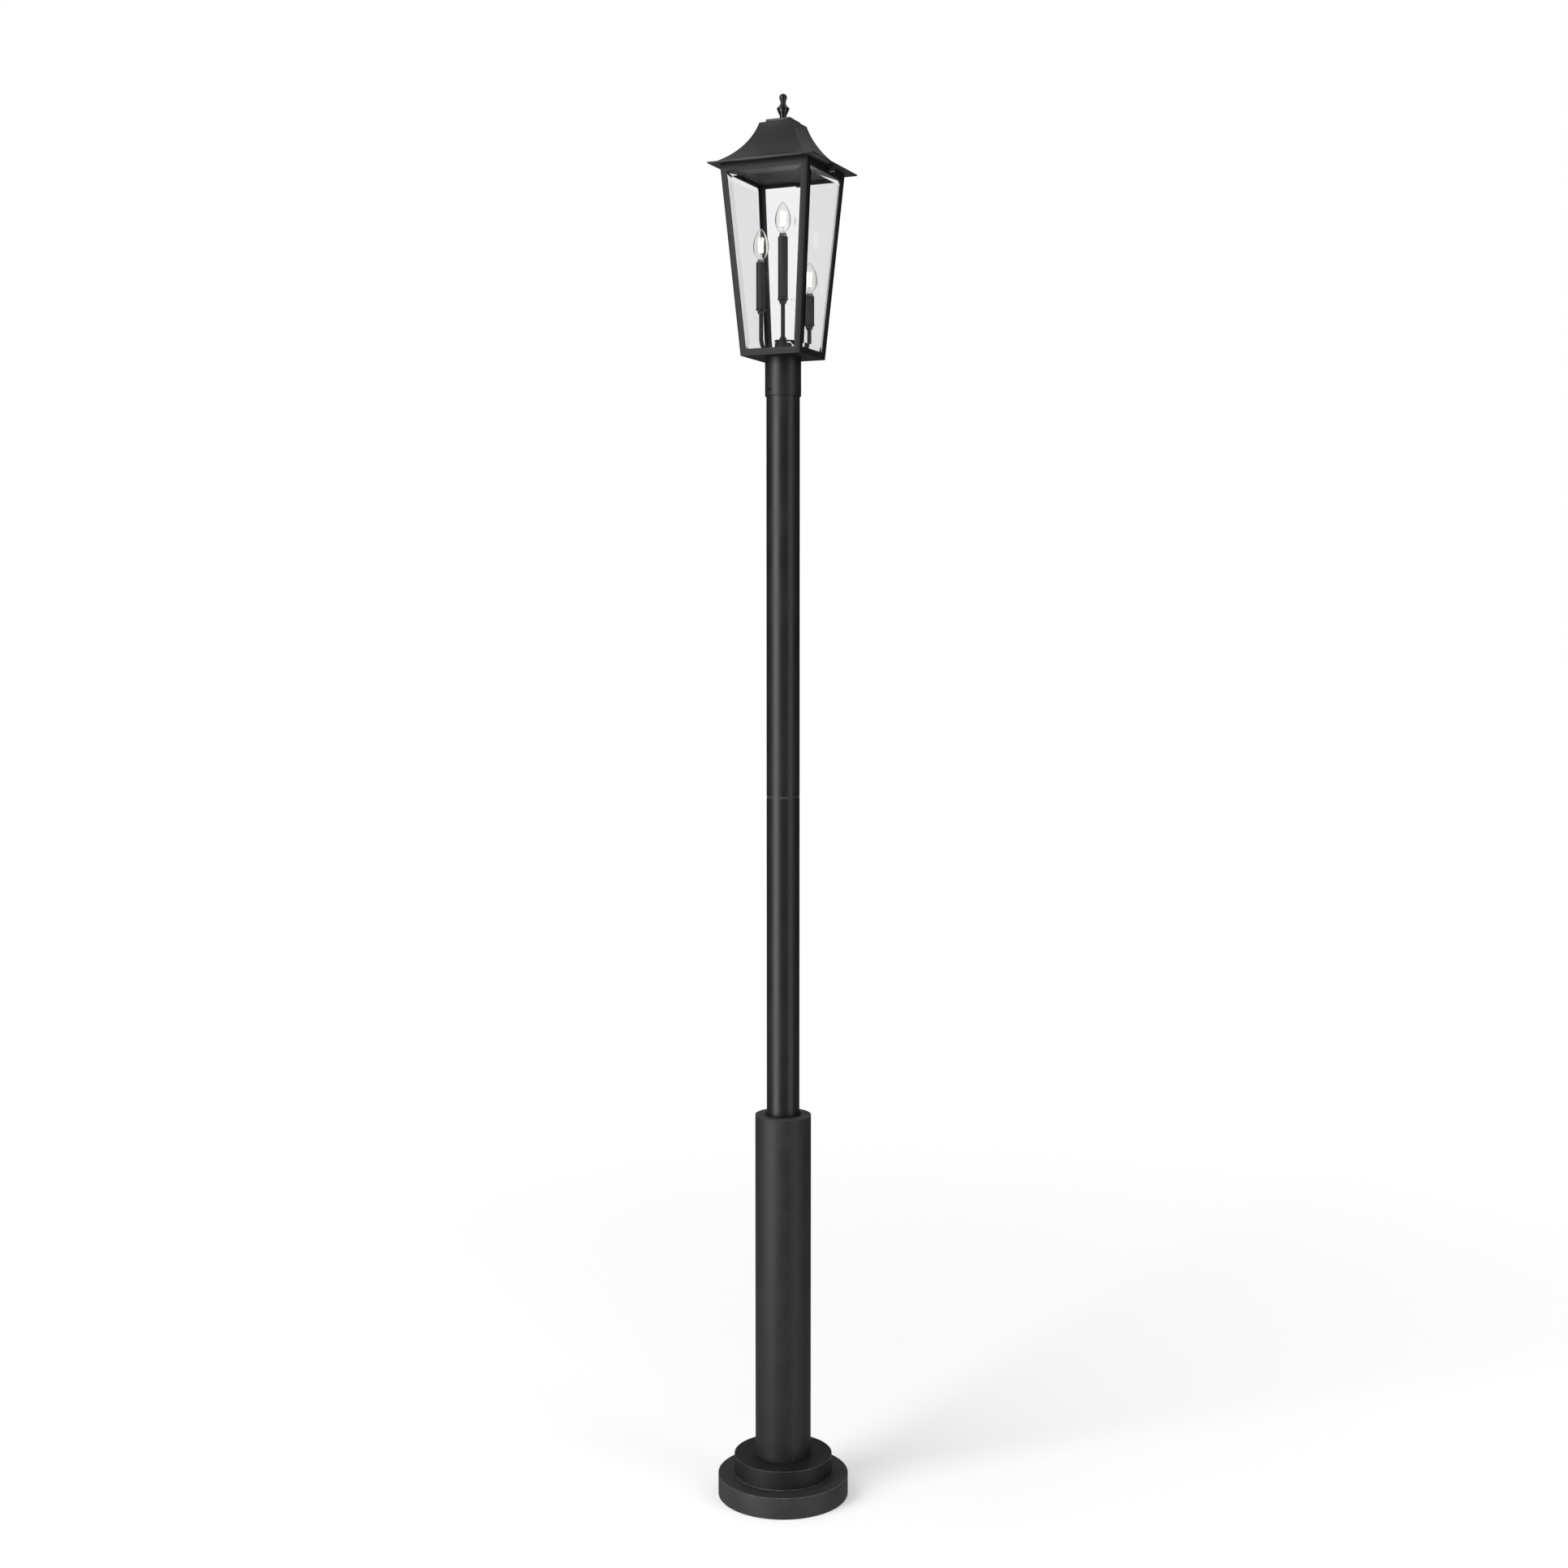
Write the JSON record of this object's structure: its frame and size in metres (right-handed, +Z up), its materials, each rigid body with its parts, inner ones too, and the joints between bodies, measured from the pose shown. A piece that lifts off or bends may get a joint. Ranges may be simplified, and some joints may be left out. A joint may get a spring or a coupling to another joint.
{
  "type": "post lantern",
  "caption": "Tall outdoor post lantern: stepped round base, wide sleeve, round pole and a tapered glazed lantern with a hinged roof, candle lamps and a turned finial.",
  "frame": {"origin": "centre of the round base on the ground", "axes": "+Z up along the pole; the lantern's front face looks towards -Y and +X is to the right of it"},
  "size_m": [0.305, 0.305, 3.2258],
  "materials": {
    "powder_coat": "satin black powder coat",
    "steel": "zinc plated",
    "rubber_black": "matt",
    "pane_glass": "clear",
    "candle_black": "fine matt",
    "socket_black": "moulded",
    "bulb_glass": "clear",
    "nickel": "nickel plated",
    "filament_glow": "glowing"
  },
  "bodies": {
    "post": {"mount_plate": "steel", "cable_bushing": "rubber_black", "base_lower_disc": "powder_coat", "base_upper_disc": "powder_coat", "base_spigot": "powder_coat", "sleeve": "powder_coat", "sleeve_cap": "powder_coat", "cap_gasket": "rubber_black", "sleeve_screws": "steel", "lower_pole": "powder_coat", "pole_coupler": "steel", "seam_ring": "powder_coat", "upper_pole": "powder_coat"},
    "lantern": {"fitter_collar": "powder_coat", "collar_screws": "steel", "bottom_plate": "powder_coat", "bottom_frame": "powder_coat", "post_front_right": "powder_coat", "post_back_right": "powder_coat", "post_back_left": "powder_coat", "post_front_left": "powder_coat", "top_frame": "powder_coat", "glass_front": "pane_glass", "glass_right": "pane_glass", "glass_back": "pane_glass", "glass_left": "pane_glass", "glass_clips": "steel", "cluster_body": "powder_coat", "cluster_nut": "powder_coat", "stem_centre": "powder_coat", "arm_left": "powder_coat", "arm_right": "powder_coat", "cup_centre": "powder_coat", "cup_left": "powder_coat", "cup_right": "powder_coat", "candle_centre": "candle_black", "candle_left": "candle_black", "candle_right": "candle_black", "socket_centre": "socket_black", "socket_left": "socket_black", "socket_right": "socket_black", "hinge_fixed": "powder_coat"},
    "bulb_centre": {"bulb_glass_centre": "bulb_glass", "bulb_base_centre": "nickel", "filament_centre": "filament_glow"},
    "bulb_left": {"bulb_glass_left": "bulb_glass", "bulb_base_left": "nickel", "filament_left": "filament_glow"},
    "bulb_right": {"bulb_glass_right": "bulb_glass", "bulb_base_right": "nickel", "filament_right": "filament_glow"},
    "roof": {"roof_brim": "powder_coat", "roof_shell": "powder_coat", "roof_cap": "powder_coat", "heat_baffle": "powder_coat", "hinge_leaf": "powder_coat", "roof_stud": "steel", "finial_stud": "steel"},
    "finial": {"finial": "powder_coat"},
    "thumb_nut": {"thumb_nut": "powder_coat"}
  },
  "joints": [
    {"name": "lantern_swivel", "type": "hinge", "parent": "post", "child": "lantern", "pos_m": [0, 0, 2.598], "axis": [0, 0, 1], "range_deg": [-180, 180]},
    {"name": "roof_hinge", "type": "hinge", "parent": "lantern", "child": "roof", "pos_m": [-0.111, 0, 3.0555], "axis": [0, -1, 0], "range_deg": [0, 95]},
    {"name": "finial_turn", "type": "hinge", "parent": "roof", "child": "finial", "pos_m": [0, 0, 3.1695], "axis": [0, 0, 1], "continuous": true},
    {"name": "thumb_nut_turn", "type": "hinge", "parent": "lantern", "child": "thumb_nut", "pos_m": [0.1195, 0, 3.05], "axis": [0, 0, 1], "continuous": true},
    {"name": "bulb_centre_turn", "type": "hinge", "parent": "lantern", "child": "bulb_centre", "pos_m": [0, 0, 2.9185], "axis": [0, 0, 1], "continuous": true},
    {"name": "bulb_left_turn", "type": "hinge", "parent": "lantern", "child": "bulb_left", "pos_m": [-0.03712, -0.03712, 2.856], "axis": [0, 0, 1], "continuous": true},
    {"name": "bulb_right_turn", "type": "hinge", "parent": "lantern", "child": "bulb_right", "pos_m": [0.04384, 0.04384, 2.788], "axis": [0, 0, 1], "continuous": true}
  ]
}
